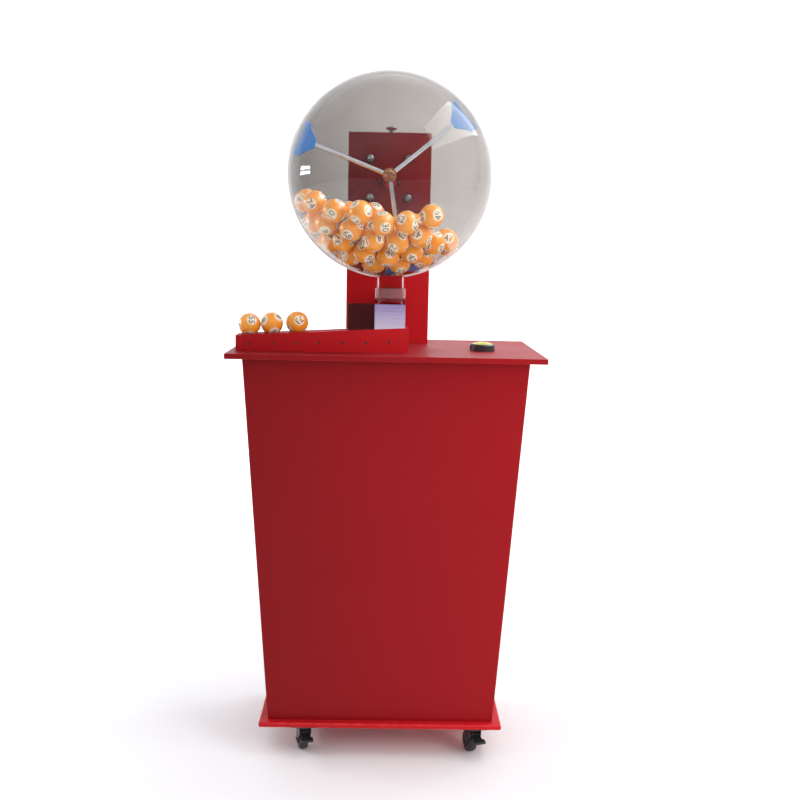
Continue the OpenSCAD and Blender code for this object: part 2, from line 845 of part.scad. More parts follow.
module at_button() { translate([button_x, front_y + button_setback, top_z]) children(); }

module button_base() {
  color(dark) at_button() difference() {
    rotate_extrude() polygon([[0, 0], [button_d / 2, 0], [button_d / 2, button_h - 3],
      [button_d / 2 - 3, button_h], [0, button_h]]);
    translate([0, 0, button_h - 8]) cylinder(h = 20, d = cap_d + 1);
    translate([0, 0, -1]) cylinder(h = 20, d = 10 + 2 * run_clear);
  }
}

// domed cap on a plunger
module button_cap() {
  dome_r = 60;
  flat_z = button_h - 8 + cap_travel + 0.5;
  color([0.85, 0.8, 0.2]) at_button() {
    translate([0, 0, flat_z]) rotate_extrude() intersection() {
      translate([0, 8 - dome_r]) circle(dome_r);
      square([cap_d / 2, 20]);
    }
    translate([0, 0, -14]) cylinder(h = flat_z + 14, d = 10);
  }
}

module button_switch() {
  color([0.3, 0.3, 0.3]) at_button() difference() {
    union() {
      translate([0, 0, -table_t]) cylinder(h = table_t, d = switch_d);
      translate([-22, -16, -table_t - 36]) cube([44, 32, 36]);
    }
    translate([0, 0, -14 - cap_travel - 1]) cylinder(h = 40, d = 10 + 2 * run_clear);
  }
}

// ---- casters -------------------------------------------------------------

module at_caster(i) {
  translate([CASTERS[i][0], CASTERS[i][1], 0]) rotate([0, 0, CASTERS[i][2]]) children();
}

// screwed plate, raceway and kingpin with its head below the fork
module caster_plates() {
  color(dark) for (c = CASTERS) translate([c[0], c[1], 0]) {
    translate([-30, -25, caster_h - 3]) cube([60, 50, 3]);
    translate([0, 0, crown_z + crown_t + seat])
      cylinder(h = caster_h - 3 - crown_z - crown_t - seat, d = 36);
    translate([0, 0, crown_z - 4]) cylinder(h = caster_h - 3 - crown_z + 4, d = 10 - 2 * run_clear);
    translate([0, 0, crown_z - 4]) cylinder(h = 4 - seat, d = 16);
  }
}

module caster_fork(i) {
  color(dark) at_caster(i) {
    difference() {
      translate([0, 0, crown_z]) cylinder(h = crown_t, d = 40);
      translate([0, 0, crown_z - 1]) cylinder(h = crown_t + 2, d = 10);
    }
    for (side = [-1, 1]) translate([side * (fork_gap + fork_t) / 2 - fork_t / 2, 0, 0])
      rotate([90, 0, 90]) linear_extrude(fork_t) {
        polygon([[-15, crown_z + 1], [-14, crown_z - 14], [trail - 9, wheel_r - 2],
          [trail + 9, wheel_r], [18, crown_z + 1]]);
        translate([trail, wheel_r]) circle(9);
      }
    translate([-fork_gap / 2 - fork_t - 2, trail, wheel_r]) rotate([0, 90, 0])
      cylinder(h = fork_gap + 2 * fork_t + 4, d = axle_d);
  }
}

module caster_wheel(i) {
  edge = 4;
  color([0.12, 0.12, 0.13]) at_caster(i) translate([0, trail, wheel_r]) rotate([0, 90, 0])
    difference() {
      rotate_extrude() union() {
        translate([0, -wheel_w / 2]) square([wheel_r - edge, wheel_w]);
        translate([0, -wheel_w / 2 + edge]) square([wheel_r, wheel_w - 2 * edge]);
        for (side = [-1, 1]) translate([wheel_r - edge, side * (wheel_w / 2 - edge)]) circle(edge);
      }
      cylinder(h = wheel_w + 2, d = axle_d + 2 * run_clear, center = true);
    }
}

// foot pedal on a cross pin between the fork's cheeks
module caster_brake(i) {
  color([0.1, 0.1, 0.1]) at_caster(i) translate([0, pedal_pivot[0], pedal_pivot[1]]) {
    translate([-fork_gap / 2 + seat, 0, 0]) rotate([0, 90, 0])
      cylinder(h = fork_gap - 2 * seat, d = 6);
    rotate([14, 0, 0]) translate([-fork_gap / 2 + 1, -24, -2]) cube([fork_gap - 2, 24, 3]);
    rotate([14, 0, 0]) translate([-14, -34, -3]) cube([28, 11, 6]);
  }
}

base_board();
front_panel();
left_panel();
right_panel();
rear_panel();
table_top();
rear_door();
door_hinge_frame();
door_hinge_leaf();
door_knob();
column_front();
column_sides();
column_top();
column_cover();
column_screws();
top_knob();
motor_plate();
gear_motor();
shaft_bearing();
globe_front();
globe_rear();
globe_spacers();
globe_bolts();
mixer_shaft();
mixer_hub();
mixer_arms();
mixer_paddles();
neck_tube();
neck_collar();
gate_housing();
gate_blade();
gate_actuator();
exit_top();
exit_window();
exit_guard();
exit_back();
exit_end();
ramp_front_board();
ramp_back_board();
ramp_bed();
ramp_end_stop();
ramp_studs();
globe_balls();
drawn_balls();
button_base();
button_cap();
button_switch();
power_unit();
cable_gland();
caster_plates();
caster_fork(0);  // caster_fork_fl
caster_fork(1);  // caster_fork_fr
caster_fork(2);  // caster_fork_rl
caster_fork(3);  // caster_fork_rr
caster_wheel(0);  // caster_wheel_fl
caster_wheel(1);  // caster_wheel_fr
caster_wheel(2);  // caster_wheel_rl
caster_wheel(3);  // caster_wheel_rr
caster_brake(0);  // caster_brake_fl
caster_brake(1);  // caster_brake_fr
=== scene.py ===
"""Motorised draw machine: a clear globe and mixer over a red cabinet on casters.

Metres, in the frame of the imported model: X to the right, Y to the back, Z up.
The script follows the machine as it is put together, from the base board up.
"""

import json
import math
import random

import bmesh
import bpy
from mathutils import Euler, Matrix, Quaternion, Vector
from mathutils.geometry import delaunay_2d_cdt

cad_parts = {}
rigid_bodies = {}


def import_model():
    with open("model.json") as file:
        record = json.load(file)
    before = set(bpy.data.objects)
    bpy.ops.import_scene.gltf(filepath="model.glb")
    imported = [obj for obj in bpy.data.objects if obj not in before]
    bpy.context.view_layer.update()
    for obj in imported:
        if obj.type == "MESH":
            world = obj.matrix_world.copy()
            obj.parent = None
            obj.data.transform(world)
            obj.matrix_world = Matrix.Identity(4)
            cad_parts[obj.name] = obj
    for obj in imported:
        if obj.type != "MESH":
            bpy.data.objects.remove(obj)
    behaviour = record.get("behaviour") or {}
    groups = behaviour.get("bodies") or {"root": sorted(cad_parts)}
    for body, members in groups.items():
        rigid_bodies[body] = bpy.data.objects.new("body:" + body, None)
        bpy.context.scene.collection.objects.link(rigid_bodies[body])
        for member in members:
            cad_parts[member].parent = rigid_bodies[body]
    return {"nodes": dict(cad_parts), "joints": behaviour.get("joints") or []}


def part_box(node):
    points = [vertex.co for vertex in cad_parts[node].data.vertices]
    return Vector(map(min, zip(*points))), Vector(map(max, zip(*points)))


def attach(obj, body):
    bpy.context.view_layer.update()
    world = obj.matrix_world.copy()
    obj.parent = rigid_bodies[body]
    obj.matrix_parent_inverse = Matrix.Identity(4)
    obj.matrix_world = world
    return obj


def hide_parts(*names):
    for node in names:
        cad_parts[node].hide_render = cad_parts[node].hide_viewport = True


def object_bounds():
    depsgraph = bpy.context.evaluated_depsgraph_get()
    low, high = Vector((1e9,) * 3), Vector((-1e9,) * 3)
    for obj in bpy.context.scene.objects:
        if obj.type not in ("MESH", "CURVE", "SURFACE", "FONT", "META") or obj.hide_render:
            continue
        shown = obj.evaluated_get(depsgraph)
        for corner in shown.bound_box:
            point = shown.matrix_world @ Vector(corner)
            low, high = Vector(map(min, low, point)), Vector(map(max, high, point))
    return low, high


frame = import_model()
cad_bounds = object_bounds()

# ---- studio -----------------------------------------------------------------
# A pale floor that sweeps up behind the machine, a tall window on the right, a
# small four-pane window on the left, a key lamp in front, and soft light all round.
scene = bpy.context.scene
scene.view_settings.view_transform = "Standard"
low = cad_bounds[0]

camera = bpy.data.objects.new("camera", bpy.data.cameras.new("camera"))
scene.collection.objects.link(camera)
scene.camera = camera
camera.data.sensor_width = 36
camera.data.lens = 46.9
camera.location = (-0.002, low.y - 2.122, low.z + 1.185)
camera_turn, camera_tilt, camera_roll = -0.0147, 0.1431, 0.0198
camera.rotation_euler = (
    Matrix.Rotation(camera_turn, 3, "Z")
    @ Matrix.Rotation(math.pi / 2 - camera_tilt, 3, "X")
    @ Matrix.Rotation(camera_roll, 3, "Z")
).to_euler()

sweep = bmesh.new()
sweep_side, sweep_front, cove_start, cove_radius, sweep_top, cove_steps = 9.0, -9.0, 3.2, 2.5, 7.0, 16
profile = [(sweep_front, 0.0)]
for step in range(cove_steps + 1):
    turn = math.pi / 2 * step / cove_steps
    profile.append((cove_start + cove_radius * math.sin(turn), cove_radius * (1 - math.cos(turn))))
profile.append((cove_start + cove_radius, sweep_top))
rows = [[sweep.verts.new((side * sweep_side, y, low.z + z)) for y, z in profile] for side in (-1, 1)]
for here in range(len(profile) - 1):
    sweep.faces.new((rows[0][here], rows[1][here], rows[1][here + 1], rows[0][here + 1]))
floor_mesh = bpy.data.meshes.new("studio_floor")
sweep.to_mesh(floor_mesh)
sweep.free()
floor_mesh.shade_smooth()
floor = bpy.data.objects.new("studio_floor", floor_mesh)
scene.collection.objects.link(floor)
floor_paint = bpy.data.materials.new("studio_floor")
floor_paint.use_nodes = True
floor_shader = floor_paint.node_tree.nodes["Principled BSDF"]
floor_shader.inputs["Base Color"].default_value = (0.86, 0.86, 0.86, 1)
floor_shader.inputs["Roughness"].default_value = 0.9
floor_mesh.materials.append(floor_paint)

world = bpy.data.worlds.new("studio")
scene.world = world
world.use_nodes = True
sky = world.node_tree
sky_colour = sky.nodes["Background"]
sky_colour.inputs["Color"].default_value = (0.95, 0.96, 1.0, 1)
sky_way = sky.nodes.new("ShaderNodeTexCoord")
sky_height = sky.nodes.new("ShaderNodeSeparateXYZ")
sky_glow = sky.nodes.new("ShaderNodeMapRange")
sky_glow.interpolation_type = "SMOOTHSTEP"
for socket, value in (("From Min", 0.0), ("From Max", 0.8), ("To Min", 0.45), ("To Max", 1.0)):
    sky_glow.inputs[socket].default_value = value
sky.links.new(sky_way.outputs["Generated"], sky_height.inputs["Vector"])
sky.links.new(sky_height.outputs["Z"], sky_glow.inputs["Value"])
sky.links.new(sky_glow.outputs["Result"], sky_colour.inputs["Strength"])


def soft_light(name, centre, aim, width, length, power, colour=(1, 1, 1), spin=0.0):
    """A rectangular lamp at centre, facing aim, with its length turned by spin."""
    lamp = bpy.data.lights.new(name, "AREA")
    lamp.shape = "RECTANGLE"
    lamp.size = width
    lamp.size_y = length
    lamp.energy = power
    lamp.color = colour
    holder = bpy.data.objects.new(name, lamp)
    scene.collection.objects.link(holder)
    holder.location = centre
    facing = (Vector(aim) - Vector(centre)).to_track_quat("-Z", "Y")
    holder.rotation_euler = (facing @ Quaternion((0, 0, 1), spin)).to_euler()
    holder.visible_camera = holder.visible_transmission = False
    return holder


globe_low, globe_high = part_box("globe_front")
globe_centre = Vector(((globe_low.x + globe_high.x) / 2, globe_high.y, (globe_low.z + globe_high.z) / 2))
globe_radius = globe_high.y - globe_low.y

# The right window is two lamps in one place: the second only makes reflections.
window_centre = globe_centre + Vector((1.6, 0.0, 1.5))
window_aim = window_centre + Vector((-1, 0, 0))
soft_light("side_window", window_centre, window_aim, 3.0, 1.3, 60, (0.93, 0.97, 1.0))
window_glare = soft_light("window_glare", window_centre, window_aim, 3.0, 1.3, 380, (0.93, 0.97, 1.0))
window_glare.visible_diffuse = False
key = soft_light("key", (1.9, -1.9, 1.5), (0, -0.2, 0.6), 1.0, 1.0, 24, (1.0, 0.98, 0.96))
key.visible_glossy = False
left_window, half_across, half_up = globe_centre + Vector((-2.85, 0.81, 0.16)), (0.07, 0.25), 0.08
for across in (-1, 1):
    for up in (-1, 1):
        pane = left_window + Vector((across * half_across[0], across * half_across[1], up * half_up))
        soft_light("left_window", pane, globe_centre, 0.42, 0.12, 7.0, (0.9, 0.95, 1.0))
soft_light("backdrop_wash", (0, 2.6, 3.6), (0, 5.6, 1.2), 6.0, 1.6, 190)

# ---- painted boards ---------------------------------------------------------
# Base board, four cabinet panels, table top, door and column are 12 mm board,
# glued and screwed, with sanded arrises and two rolled coats of satin red paint.

# The model's plain stand-in colours make way for the real finishes.
for plain in list(bpy.data.materials):
    if plain != floor_paint:
        bpy.data.materials.remove(plain)


def add(tree, kind, inputs=None, **settings):
    """A new node with its settings, its input values, and links where an input is a socket."""
    made = tree.nodes.new(kind)
    for key, value in settings.items():
        setattr(made, key, value)
    for key, value in (inputs or {}).items():
        if isinstance(value, bpy.types.NodeSocket):
            tree.links.new(value, made.inputs[key])
        else:
            made.inputs[key].default_value = value
    return made


def finish(name, roughness, **constants):
    """A new material, with constants set straight on its Principled shader."""
    made = bpy.data.materials.new(name)
    made.use_nodes = True
    shader = made.node_tree.nodes["Principled BSDF"]
    shader.inputs["Roughness"].default_value = roughness
    for key, value in constants.items():
        shader.inputs[key.replace("_", " ")].default_value = value
    return made


def stretched(tree, scale):
    """Object coordinates scaled differently along the three axes."""
    place = add(tree, "ShaderNodeTexCoord").outputs["Object"]
    return add(tree, "ShaderNodeMapping", {"Vector": place, "Scale": scale}).outputs["Vector"]


def cloud(tree, size, detail=3.0, stretch=(1, 1, 1)):
    """Soft noise with patches of about the given size, from 0 to 1."""
    return add(tree, "ShaderNodeTexNoise", {
        "Vector": stretched(tree, stretch), "Scale": 1 / size, "Detail": detail}).outputs["Fac"]


def ranged(tree, value, start, end, first=0.0, last=1.0):
    """A value that runs from first to last while the given one runs from start to end."""
    return add(tree, "ShaderNodeMapRange", {
        "Value": value, "From Min": start, "From Max": end, "To Min": first, "To Max": last}).outputs["Result"]


def between(tree, share, start, end):
    """Share, from 0.3 to 0.7 as noise mostly runs, spread over start to end."""
    return ranged(tree, share, 0.3, 0.7, start, end)


def mixed(tree, share, first, second):
    """A colour between two, each a tuple or a socket."""
    blend = add(tree, "ShaderNodeMix", data_type="RGBA")
    tree.links.new(share, blend.inputs[0])
    for socket, value in ((blend.inputs[6], first), (blend.inputs[7], second)):
        if isinstance(value, bpy.types.NodeSocket):
            tree.links.new(value, socket)
        else:
            socket.default_value = (*value, 1)
    return blend.outputs[2]


def surface(made, colour=None, roughness=None, height=None, depth=0.0):
    """Joins a colour, a roughness and a relief of the given depth to a finish."""
    tree = made.node_tree
    shader = tree.nodes["Principled BSDF"]
    if colour is not None:
        tree.links.new(colour, shader.inputs["Base Color"])
    if roughness is not None:
        tree.links.new(roughness, shader.inputs["Roughness"])
    if height is not None:
        relief = add(tree, "ShaderNodeBump", {"Height": height, "Distance": depth, "Strength": 1.0})
        tree.links.new(relief.outputs["Normal"], shader.inputs["Normal"])
    return made


def along(tree, axis):
    """How far a point of the surface lies along X, Y or Z."""
    place = add(tree, "ShaderNodeTexCoord").outputs["Object"]
    return add(tree, "ShaderNodeSeparateXYZ", {"Vector": place}).outputs[axis]


def lacquer(name, shade, deep, worn, roughness):
    """Satin paint: a faint roller texture, painted shade that darkens the colour towards the left, rubbed
    arrises.
    """
    made = finish(name, roughness, Specular_IOR_Level=0.14)
    tree = made.node_tree
    tone_and_painted_shade = mixed(tree, between(tree, cloud(tree, 0.5, 2.0), 0.0, 1.0), shade, deep)
    # Painted shade: towards the left the colour darkens to 0.4 of its shade, as if less light fell there.
    tone_and_painted_shade = mixed(tree, ranged(tree, along(tree, "X"), -0.7, 0.3), [0.4 * channel for channel in shade], tone_and_painted_shade)
    rubbed = add(tree, "ShaderNodeAttribute", attribute_name="arris").outputs["Fac"]
    patchy = between(tree, cloud(tree, 0.02, 6.0), 0.0, 0.8)
    wear = add(tree, "ShaderNodeMath", {0: rubbed, 1: patchy}, operation="MULTIPLY").outputs[0]
    colour = mixed(tree, wear, tone_and_painted_shade, worn)
    gloss = between(tree, cloud(tree, 0.15, 3.0), roughness - 0.03, roughness + 0.04)
    peel = cloud(tree, 0.005, 2.0, (1, 1, 0.12))
    return surface(made, colour, gloss, peel, 0.00005)


# A lighter copy of the red paint, as painted light: the base board, column and ramp carry it where more light
# falls on them.
lighter_lit_paint = lacquer(
    "lighter_lit_paint", (0.65, 0.0105, 0.0165), (0.59, 0.0088, 0.0142), (0.70, 0.035, 0.04), 0.45)
red_paint = lacquer(
    "red_paint", (0.355, 0.0058, 0.0099), (0.325, 0.005, 0.0084), (0.52, 0.03, 0.035), 0.48)


def eased(node, body, made_of, width, steps=3, name=None):
    """A copy of a CAD node with every sharp edge rounded to width, shown in its place."""
    work = bmesh.new()
    work.from_mesh(frame["nodes"][node].data)
    bmesh.ops.remove_doubles(work, verts=work.verts, dist=0.00001)
    bmesh.ops.dissolve_limit(work, angle_limit=math.radians(0.5), verts=work.verts, edges=work.edges)
    bmesh.ops.recalc_face_normals(work, faces=work.faces)
    sharp = [e for e in work.edges if len(e.link_faces) == 2 and e.calc_face_angle() > math.radians(35)]
    arris = work.loops.layers.float.new("arris")
    rounded = bmesh.ops.bevel(
        work, geom=sharp, offset=width, segments=steps, profile=0.5, affect="EDGES", clamp_overlap=True)
    for face in rounded["faces"]:
        for corner in face.loops:
            corner[arris] = 1.0
    bmesh.ops.triangulate(work, faces=[f for f in work.faces if len(f.verts) > 4])
    piece = placed(name or node + "_eased", work, body, made_of, node)
    flat_faced(piece.data)
    return piece


def flat_faced(mesh):
    """Keeps the broad faces flat, so that only the rounded arrises shade smoothly."""
    arris = mesh.attributes["arris"].data
    rounded = [arris[face.loop_start].value > 0.5 for face in mesh.polygons]
    broad, soft = [[] for _ in mesh.vertices], [[] for _ in mesh.vertices]
    for face, is_soft in zip(mesh.polygons, rounded):
        for corner in face.vertices:
            (soft if is_soft else broad)[corner].append(face.normal * face.area)
    normals = []
    for face, is_soft in zip(mesh.polygons, rounded):
        for corner in face.vertices:
            near = broad[corner] and max(n.normalized().dot(face.normal) for n in broad[corner])
            if is_soft and (not broad[corner] or near < 0.5):
                shared = soft[corner]
            else:
                shared = [n for n in broad[corner] if n.normalized().dot(face.normal) > near - 0.18]
            normals.append(sum(shared, Vector((0, 0, 0))).normalized())
    mesh.normals_split_custom_set(normals)


def placed(name, work, body, made_of, *nodes, flat=30):
    """Turns finished mesh work into a piece that rides on a body, in place of CAD nodes."""
    mesh = bpy.data.meshes.new(name)
    work.to_mesh(mesh)
    work.free()
    mesh.shade_smooth()
    mesh.set_sharp_from_angle(angle=math.radians(flat))
    mesh.materials.append(made_of)
    piece = bpy.data.objects.new(name, mesh)
    scene.collection.objects.link(piece)
    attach(piece, body)
    if nodes:
        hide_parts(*nodes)
    return piece


def turned(name, profile, centre, axis, body, made_of, *nodes, sides=64, closed=False, flat=35):
    """A profile of (radius, height) pairs turned round an axis through centre."""
    work = bmesh.new()
    lean = Vector(axis).to_track_quat("Z", "Y")
    around = [2 * math.pi * k / sides for k in range(sides)]
    rings = []
    for radius, height in profile:
        ways = around if radius > 0 else around[:1]
        rings.append([work.verts.new(Vector(centre) + lean @ Vector(
            (radius * math.cos(a), radius * math.sin(a), height))) for a in ways])
    for first, second in zip(rings, [*rings[1:], *(rings[:1] if closed else [])]):
        for k in range(sides):
            quad = [first[k % len(first)], first[(k + 1) % sides % len(first)],
                    second[(k + 1) % sides % len(second)], second[k % len(second)]]
            work.faces.new(list(dict.fromkeys(quad)))
    bmesh.ops.recalc_face_normals(work, faces=work.faces)
    return placed(name, work, body, made_of, *nodes, flat=flat)


def dressed(node, made_of):
    """Gives a CAD node its finish."""
    mesh = frame["nodes"][node].data
    mesh.materials.clear()
    mesh.materials.append(made_of)


# The base board takes the lighter copy of the paint, as painted light.
eased("base_board", "cabinet", lighter_lit_paint, 0.004, 4)
eased("table_top", "cabinet", red_paint, 0.004, 4)
for board in ("front_panel", "left_panel", "right_panel", "rear_panel"):
    eased(board, "cabinet", red_paint, 0.001, 2)
eased("rear_door", "door", red_paint, 0.0015)
# The column takes the lighter copy of the paint, as painted light.
for board in ("column_front", "column_sides", "column_top"):
    eased(board, "cabinet", lighter_lit_paint, 0.0015)
eased("column_cover", "cabinet", red_paint, 0.001, 2)

# ---- screws -----------------------------------------------------------------
# Pan-head cross-recess screws in plated steel. One head is pressed, and copies
# are driven at every marked spot, each turned to its own angle.


def flat_mesh(outlines, radius, sides):
    """A disc split along closed outlines: its points, its triangles, and which lie inside an outline."""
    rim = [Vector((radius * math.cos(a), radius * math.sin(a)))
           for a in (2 * math.pi * k / sides for k in range(sides))]
    points, edges = list(rim), [(k, (k + 1) % sides) for k in range(sides)]
    for outline in outlines:
        first = len(points)
        points += [Vector(p) for p in outline]
        edges += [(first + k, first + (k + 1) % len(outline)) for k in range(len(outline))]
    # Rings of inner points keep the triangles small, so that a wrapped disc stays round.
    for ring, count in ((0.72, 14), (0.42, 8)):
        points += [Vector((radius * ring * math.cos(a), radius * ring * math.sin(a)))
                   for a in (2 * math.pi * k / count for k in range(count))]
    flat = delaunay_2d_cdt(points, edges, [], 1, 1e-6)
    spots, faces = flat[0], flat[2]
    middles = [sum((spots[i] for i in face), Vector((0, 0))) / len(face) for face in faces]
    return spots, faces, [inside(middle, outlines) for middle in middles]


def inside(spot, outlines):
    """Whether a point lies inside an odd number of closed outlines."""
    crossings = 0
    for outline in outlines:
        for start, end in zip(outline, [*outline[1:], outline[0]]):
            if (start[1] > spot.y) != (end[1] > spot.y):
                share = (spot.y - start[1]) / (end[1] - start[1])
                crossings += spot.x < start[0] + share * (end[0] - start[0])
    return crossings % 2 == 1


def screw_head(radius, height):
    """A domed disc with a cross pressed into it, standing on z = 0."""
    arm, half = radius * 0.55, radius * 0.14
    cross = [(arm, -half), (arm, half), (half, half), (half, arm), (-half, arm), (-half, half),
             (-arm, half), (-arm, -half), (-half, -half), (-half, -arm), (half, -arm), (half, -half)]
    spots, faces, pressed = flat_mesh([cross], radius, 20)
    head = bmesh.new()
    corners = [head.verts.new((p.x, p.y, height * (1 - 0.55 * (p.length / radius) ** 2))) for p in spots]
    made = [head.faces.new([corners[i] for i in f]) for f in faces]
    rim = [e for e in head.edges if len(e.link_faces) == 1]
    skirt = bmesh.ops.extrude_edge_only(head, edges=rim)
    for part in skirt["geom"]:
        if isinstance(part, bmesh.types.BMVert):
            part.co.z = 0
    sunk = bmesh.ops.extrude_face_region(head, geom=[f for f, deep in zip(made, pressed) if deep])
    bmesh.ops.translate(head, vec=(0, 0, -height * 0.6),
                        verts=[p for p in sunk["geom"] if isinstance(p, bmesh.types.BMVert)])
    bmesh.ops.delete(head, geom=[f for f, deep in zip(made, pressed) if deep], context="FACES")
    bmesh.ops.holes_fill(head, edges=[e for e in head.edges if e.is_boundary], sides=0)
    bmesh.ops.recalc_face_normals(head, faces=head.faces)
    mesh = bpy.data.meshes.new("screw_head")
    head.to_mesh(mesh)
    head.free()
    return mesh


def marked(spots, turns, extra=None):
    """A mesh of loose points that carry a turn each, and any extra whole number."""
    mesh = bpy.data.meshes.new("marks")
    mesh.from_pydata([tuple(s) for s in spots], [], [])
    turned_to = mesh.attributes.new("turn", "FLOAT_VECTOR", "POINT")
    for place, turn in zip(turned_to.data, turns):
        place.vector = tuple(turn)
    for name, numbers in (extra or {}).items():
        column = mesh.attributes.new(name, "INT", "POINT")
        for place, number in zip(column.data, numbers):
            place.value = number
    return mesh


def new_tree(name, *inputs):
    """An empty geometry tree with its Geometry socket and the given named inputs."""
    tree = bpy.data.node_groups.new(name, "GeometryNodeTree")
    tree.interface.new_socket("Geometry", in_out="INPUT", socket_type="NodeSocketGeometry")
    for label, kind in inputs:
        tree.interface.new_socket(label, in_out="INPUT", socket_type=kind)
    tree.interface.new_socket("Geometry", in_out="OUTPUT", socket_type="NodeSocketGeometry")
    return tree, add(tree, "NodeGroupInput"), add(tree, "NodeGroupOutput")


def grown(name, marks, tree, body, values, *nodes, flat=40, finish_slot=None):
    """Runs a tree on a mesh of marks, keeps the result as a plain mesh, and lets it ride."""
    source = bpy.data.objects.new(name + "_marks", marks)
    scene.collection.objects.link(source)
    step = source.modifiers.new("grow", "NODES")
    step.node_group = tree
    for item in tree.interface.items_tree:
        if item.in_out == "INPUT" and item.name in values:
            step[item.identifier] = values[item.name]
    bpy.context.view_layer.update()
    mesh = bpy.data.meshes.new_from_object(source.evaluated_get(bpy.context.evaluated_depsgraph_get()))
    bpy.data.objects.remove(source)
    mesh.name = name
    mesh.shade_smooth()
    mesh.set_sharp_from_angle(angle=math.radians(flat))
    piece = bpy.data.objects.new(name, mesh)
    scene.collection.objects.link(piece)
    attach(piece, body)
    if nodes:
        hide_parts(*nodes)
    return piece


def heads_tree():
    """Stands one head on every mark, turned and sized, as one real mesh."""
    tree, given, result = new_tree("driven_screws", ("Head", "NodeSocketObject"), ("Size", "NodeSocketFloat"),
                                   ("Finish", "NodeSocketMaterial"))
    head = add(tree, "GeometryNodeObjectInfo", {"Object": given.outputs["Head"]})
    turn = add(tree, "GeometryNodeInputNamedAttribute", {"Name": "turn"}, data_type="FLOAT_VECTOR")
    copies = add(tree, "GeometryNodeInstanceOnPoints", {
        "Points": given.outputs["Geometry"], "Instance": head.outputs["Geometry"],
        "Rotation": turn.outputs["Attribute"], "Scale": given.outputs["Size"]})
    solid = add(tree, "GeometryNodeRealizeInstances", {"Geometry": copies.outputs["Instances"]})
    dressed_up = add(tree, "GeometryNodeSetMaterial", {
        "Geometry": solid.outputs["Geometry"], "Material": given.outputs["Finish"]})
    tree.links.new(dressed_up.outputs["Geometry"], result.inputs["Geometry"])
    return tree


def metal(name, bright, dull, roughness, grain, stretch=(1, 1, 1), depth=0.00002):
    """Bare or plated metal: clouded tone, uneven polish and a fine directional grain."""
    made = finish(name, roughness, Metallic=1.0)
    tree = made.node_tree
    colour = mixed(tree, between(tree, cloud(tree, 0.015, 5.0), 0.0, 1.0), bright, dull)
    polish = between(tree, cloud(tree, 0.008, 4.0), roughness * 0.7, roughness * 1.5)
    return surface(made, colour, polish, cloud(tree, grain, 2.0, stretch), depth)


steel = metal("steel", (0.62, 0.63, 0.65), (0.42, 0.43, 0.45), 0.3, 0.0012)
drive_screws = heads_tree()
pan_head = bpy.data.objects.new("pan_head", screw_head(1.0, 0.55))
scene.collection.objects.link(pan_head)
hand = random.Random(7)


def screws(name, body, spots, facing, radius, *nodes, spins=None):
    """Pan-head screws at the spots, their heads facing one way."""
    lean = Vector(facing).to_track_quat("Z", "Y")
    spins = spins or [hand.uniform(0, math.pi) for _ in spots]
    turns = [(lean @ Quaternion((0, 0, 1), spin)).to_euler() for spin in spins]
    return grown(name, marked(spots, turns), drive_screws, body,
                 {"Head": pan_head, "Size": radius, "Finish": steel}, *nodes, finish_slot="steel")


cover_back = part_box("column_cover")[1].y
screw_low, screw_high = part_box("column_screws")
screw_inset, cover_screw = 0.004, 0.0048
screws("cover_screws", "cabinet",
       [(x, cover_back, z) for x in (screw_low.x + screw_inset, screw_high.x - screw_inset)
        for z in (screw_low.z + screw_inset, screw_high.z - screw_inset)],
       (0, 1, 0), cover_screw, "column_screws")

# ---- rear door hardware -----------------------------------------------------
# Two butt hinges with plated leaves and a turned pull. Each leaf is held by
# countersunk screws, and the pins turn in the knuckles.
for leaf in ("door_hinge_frame", "door_hinge_leaf"):
    dressed(leaf, steel)
joints = {joint["name"]: joint for joint in frame["joints"]}
pin = Vector(joints["door_hinge"]["pos_m"])
leaf_low, leaf_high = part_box("door_hinge_frame")
leaf_thickness, leaf_reach, hinge_height, screw_offset, hinge_screw = 0.002, 0.016, 0.060, 0.018, 0.0036
leaf_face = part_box("rear_door")[1].y + leaf_thickness
for leaf_body, side in (("cabinet", -1), ("door", 1)):
    screws(f"hinge_screws_{leaf_body}", leaf_body,
           [(pin.x + side * leaf_reach, leaf_face, middle + offset)
            for middle in (leaf_low.z + hinge_height / 2, leaf_high.z - hinge_height / 2)
            for offset in (-screw_offset, screw_offset)], (0, 1, 0), hinge_screw)

black_plastic = finish("black_plastic", 0.35)
black_tree = black_plastic.node_tree
black_clouds = between(black_tree, cloud(black_tree, 0.01, 4.0), 0, 1)
surface(black_plastic, mixed(black_tree, black_clouds, (0.012, 0.012, 0.014), (0.03, 0.03, 0.033)),
        between(black_tree, cloud(black_tree, 0.006, 3.0), 0.25, 0.5), cloud(black_tree, 0.0009, 1.0), 0.00004)
pull_low, pull_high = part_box("door_knob")
pull_foot = Vector(((pull_low.x + pull_high.x) / 2, pull_low.y, (pull_low.z + pull_high.z) / 2))
pull_profile = [(0, 0), (0.007, 0), (0.0058, 0.003), (0.0056, 0.007), (0.0075, 0.0095), (0.0112, 0.0112),
                (0.0120, 0.0135), (0.0117, 0.0165), (0.0098, 0.0188), (0.006, 0.0198), (0, 0.02)]
turned("door_pull", pull_profile, pull_foot, (0, 1, 0), "door", black_plastic, "door_knob", flat=60)

